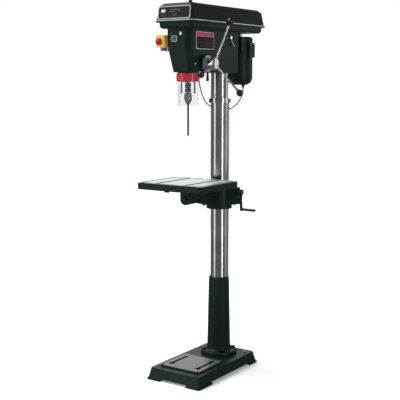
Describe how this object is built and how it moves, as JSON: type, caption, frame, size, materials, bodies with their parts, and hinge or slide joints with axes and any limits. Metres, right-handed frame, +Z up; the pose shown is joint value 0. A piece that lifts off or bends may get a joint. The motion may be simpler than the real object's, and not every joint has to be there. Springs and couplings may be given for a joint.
{
  "type": "drill press",
  "caption": "Floor-standing belt-drive drill press with a tilting square table on a round rack column, a three-arm quill feed and a long hinged belt cover.",
  "frame": {"origin": "bottom centre of the whole press's bounding box, on the floor", "axes": "+Z up along the column; the operator stands on the -Y side and faces +Y; +X is to the operator's right"},
  "size_m": [0.3694, 0.651, 1.6793],
  "materials": {
    "body_paint": "satin dark green-black enamel",
    "lid_paint": "satin charcoal enamel",
    "ground_steel": "ground",
    "chuck_steel": "turned",
    "black_oxide_steel": "black oxide",
    "chrome": "polished",
    "aluminium": "machined",
    "black_plastic": "moulded",
    "red_plastic": "moulded",
    "yellow_plastic": "moulded",
    "green_plastic": "moulded",
    "mint_plastic": "moulded",
    "grey_plastic": "moulded",
    "clear_plastic": "clear polycarbonate",
    "belt_rubber": "matt",
    "lead_rubber": "satin"
  },
  "bodies": {
    "frame": {"base": "body_paint", "base_bolt_1": "ground_steel", "base_bolt_2": "ground_steel", "base_bolt_3": "ground_steel", "base_bolt_4": "ground_steel", "column_sleeve": "body_paint", "column": "ground_steel", "rack_collar": "ground_steel", "head_casting": "body_paint", "spring_housing": "aluminium", "belt_cover_tray": "body_paint", "lid_hinge_pin": "ground_steel", "front_belt": "belt_rubber", "rear_belt": "belt_rubber", "motor_lead": "lead_rubber", "lead_gland_head": "black_plastic", "switch_housing": "grey_plastic", "start_bezel": "mint_plastic"},
    "rack": {"rack": "ground_steel"},
    "table_bracket": {"table_bracket": "body_paint", "tilt_bolt": "ground_steel"},
    "table": {"table": "body_paint"},
    "table_lock_lever": {"table_lock_lever": "black_plastic"},
    "crank": {"worm_shaft": "ground_steel", "crank_arm": "body_paint"},
    "crank_grip": {"crank_grip": "black_plastic"},
    "lift_pinion": {"lift_pinion": "ground_steel"},
    "quill": {"quill": "ground_steel", "guard_collar": "black_plastic"},
    "spindle": {"spindle": "ground_steel", "chuck_body": "chuck_steel", "chuck_jaws": "chuck_steel", "drill_bit": "black_oxide_steel"},
    "chuck_sleeve": {"chuck_sleeve": "chuck_steel"},
    "guard_frame": {"guard_frame": "red_plastic"},
    "guard_shield": {"guard_shield": "clear_plastic"},
    "feed": {"feed_shaft": "ground_steel", "feed_hub": "chrome", "feed_arm_1": "chrome", "feed_arm_2": "chrome", "feed_arm_3": "chrome", "feed_knob_1": "black_plastic", "feed_knob_2": "black_plastic", "feed_knob_3": "black_plastic"},
    "depth_ring": {"depth_ring": "aluminium"},
    "depth_lock_lever": {"depth_lock_lever": "black_plastic"},
    "motor": {"motor": "body_paint", "motor_box": "body_paint", "lead_gland_motor": "black_plastic"},
    "motor_pulley": {"motor_shaft": "ground_steel", "motor_pulley": "aluminium"},
    "idler_arm": {"idler_arm": "body_paint"},
    "idler_pulley": {"idler_pulley": "aluminium"},
    "spindle_pulley": {"spindle_pulley": "aluminium"},
    "tension_lever": {"tension_lever": "chrome"},
    "belt_cover_lid": {"belt_cover_lid": "lid_paint", "lid_knob": "black_plastic"},
    "stop_cover": {"stop_cover": "yellow_plastic"},
    "stop_button": {"stop_button": "red_plastic"},
    "start_button": {"start_button": "green_plastic"}
  },
  "joints": [
    {"name": "table_swing", "type": "hinge", "parent": "frame", "child": "rack", "pos_m": [-0.01265, 0.0775, 0.82], "axis": [0, 0, 1], "range_deg": [-90, 90]},
    {"name": "table_lift", "type": "slide", "parent": "rack", "child": "table_bracket", "axis": [0, 0, 1], "range_m": [-0.32, 0.19]},
    {"name": "table_tilt", "type": "hinge", "parent": "table_bracket", "child": "table", "pos_m": [-0.01265, -0.1685, 0.82], "axis": [0, 1, 0], "range_deg": [-45, 45]},
    {"name": "table_lock_turn", "type": "hinge", "parent": "table_bracket", "child": "table_lock_lever", "pos_m": [0.01735, -0.1185, 0.806], "axis": [1, 0, 0], "range_deg": [-60, 0]},
    {"name": "crank_turn", "type": "hinge", "parent": "table_bracket", "child": "crank", "pos_m": [0.10735, 0.0775, 0.833], "axis": [1, 0, 0], "range_deg": [-2200, 3690]},
    {"name": "crank_grip_spin", "type": "hinge", "parent": "crank", "child": "crank_grip", "pos_m": [0.14735, 0.0775, 0.754], "axis": [1, 0, 0], "continuous": true},
    {"name": "lift_pinion_turn", "type": "hinge", "parent": "table_bracket", "child": "lift_pinion", "pos_m": [0.0504, 0.0775, 0.80945], "axis": [0, 1, 0], "range_deg": [-730, 1230]},
    {"name": "quill_feed", "type": "slide", "parent": "frame", "child": "quill", "axis": [0, 0, -1], "range_m": [0, 0.08], "stiffness_N_per_m": 1500, "springref_m": -0.06},
    {"name": "spindle_spin", "type": "hinge", "parent": "quill", "child": "spindle", "pos_m": [-0.01265, -0.1745, 1.4], "axis": [0, 0, 1], "continuous": true},
    {"name": "chuck_sleeve_turn", "type": "hinge", "parent": "spindle", "child": "chuck_sleeve", "pos_m": [-0.01265, -0.1745, 1.27], "axis": [0, 0, 1], "range_deg": [0, 90]},
    {"name": "guard_swing", "type": "hinge", "parent": "quill", "child": "guard_frame", "pos_m": [-0.06965, -0.1745, 1.355], "axis": [0, 0, -1], "range_deg": [0, 110]},
    {"name": "guard_height", "type": "slide", "parent": "guard_frame", "child": "guard_shield", "axis": [0, 0, 1], "range_m": [0, 0.025]},
    {"name": "feed_turn", "type": "hinge", "parent": "frame", "child": "feed", "pos_m": [-0.01265, -0.1335, 1.415], "axis": [1, 0, 0], "range_deg": [0, 384]},
    {"name": "depth_ring_turn", "type": "hinge", "parent": "feed", "child": "depth_ring", "pos_m": [0.06235, -0.1335, 1.415], "axis": [1, 0, 0], "range_deg": [-150, 150]},
    {"name": "depth_lock_turn", "type": "hinge", "parent": "depth_ring", "child": "depth_lock_lever", "pos_m": [0.06235, -0.1335, 1.35], "axis": [0, 0, 1], "range_deg": [0, 180]},
    {"name": "motor_slide", "type": "slide", "parent": "frame", "child": "motor", "axis": [0, -1, 0], "range_m": [0, 0.012], "deforming": ["rear_belt", "motor_lead"]},
    {"name": "motor_spin", "type": "hinge", "parent": "motor", "child": "motor_pulley", "pos_m": [-0.01265, 0.2525, 1.59], "axis": [0, 0, 1], "continuous": true},
    {"name": "tension_lever_turn", "type": "hinge", "parent": "frame", "child": "tension_lever", "pos_m": [0.05735, 0.0605, 1.534], "axis": [1, 0, 0], "range_deg": [0, 62]},
    {"name": "idler_swing", "type": "hinge", "parent": "frame", "child": "idler_arm", "pos_m": [0.03535, 0.0595, 1.568], "axis": [0, 0, 1], "range_deg": [-3, 3], "deforming": ["front_belt", "rear_belt"]},
    {"name": "idler_spin", "type": "hinge", "parent": "idler_arm", "child": "idler_pulley", "pos_m": [-0.01265, 0.0355, 1.59], "axis": [0, 0, 1], "continuous": true},
    {"name": "spindle_pulley_spin", "type": "hinge", "parent": "frame", "child": "spindle_pulley", "pos_m": [-0.01265, -0.1745, 1.59], "axis": [0, 0, 1], "continuous": true},
    {"name": "lid_hinge", "type": "hinge", "parent": "frame", "child": "belt_cover_lid", "pos_m": [-0.11635, 0.0775, 1.59315], "axis": [0, -1, 0], "range_deg": [0, 95]},
    {"name": "stop_cover_hinge", "type": "hinge", "parent": "frame", "child": "stop_cover", "pos_m": [-0.12065, -0.23465, 1.51], "axis": [0, 0, -1], "range_deg": [0, 110]},
    {"name": "stop_button_press", "type": "slide", "parent": "stop_cover", "child": "stop_button", "axis": [0, 1, 0], "range_m": [0, 0.003], "stiffness_N_per_m": 600, "springref_m": -0.001},
    {"name": "start_button_press", "type": "slide", "parent": "frame", "child": "start_button", "axis": [0, 1, 0], "range_m": [0, 0.003], "stiffness_N_per_m": 600, "springref_m": -0.001}
  ],
  "couplings": [
    {"joint": "crank_turn", "follows": "table_lift", "rad_per_m": -200},
    {"joint": "lift_pinion_turn", "follows": "table_lift", "rad_per_m": -66.667},
    {"joint": "feed_turn", "follows": "quill_feed", "rad_per_m": 83.333},
    {"joint": "idler_spin", "follows": "motor_spin", "ratio": 0.37705},
    {"joint": "spindle_pulley_spin", "follows": "motor_spin", "ratio": 0.33515},
    {"joint": "spindle_spin", "follows": "motor_spin", "ratio": 0.33515},
    {"joint": "tension_lever_turn", "follows": "motor_slide", "rad_per_m": 87.266}
  ]
}
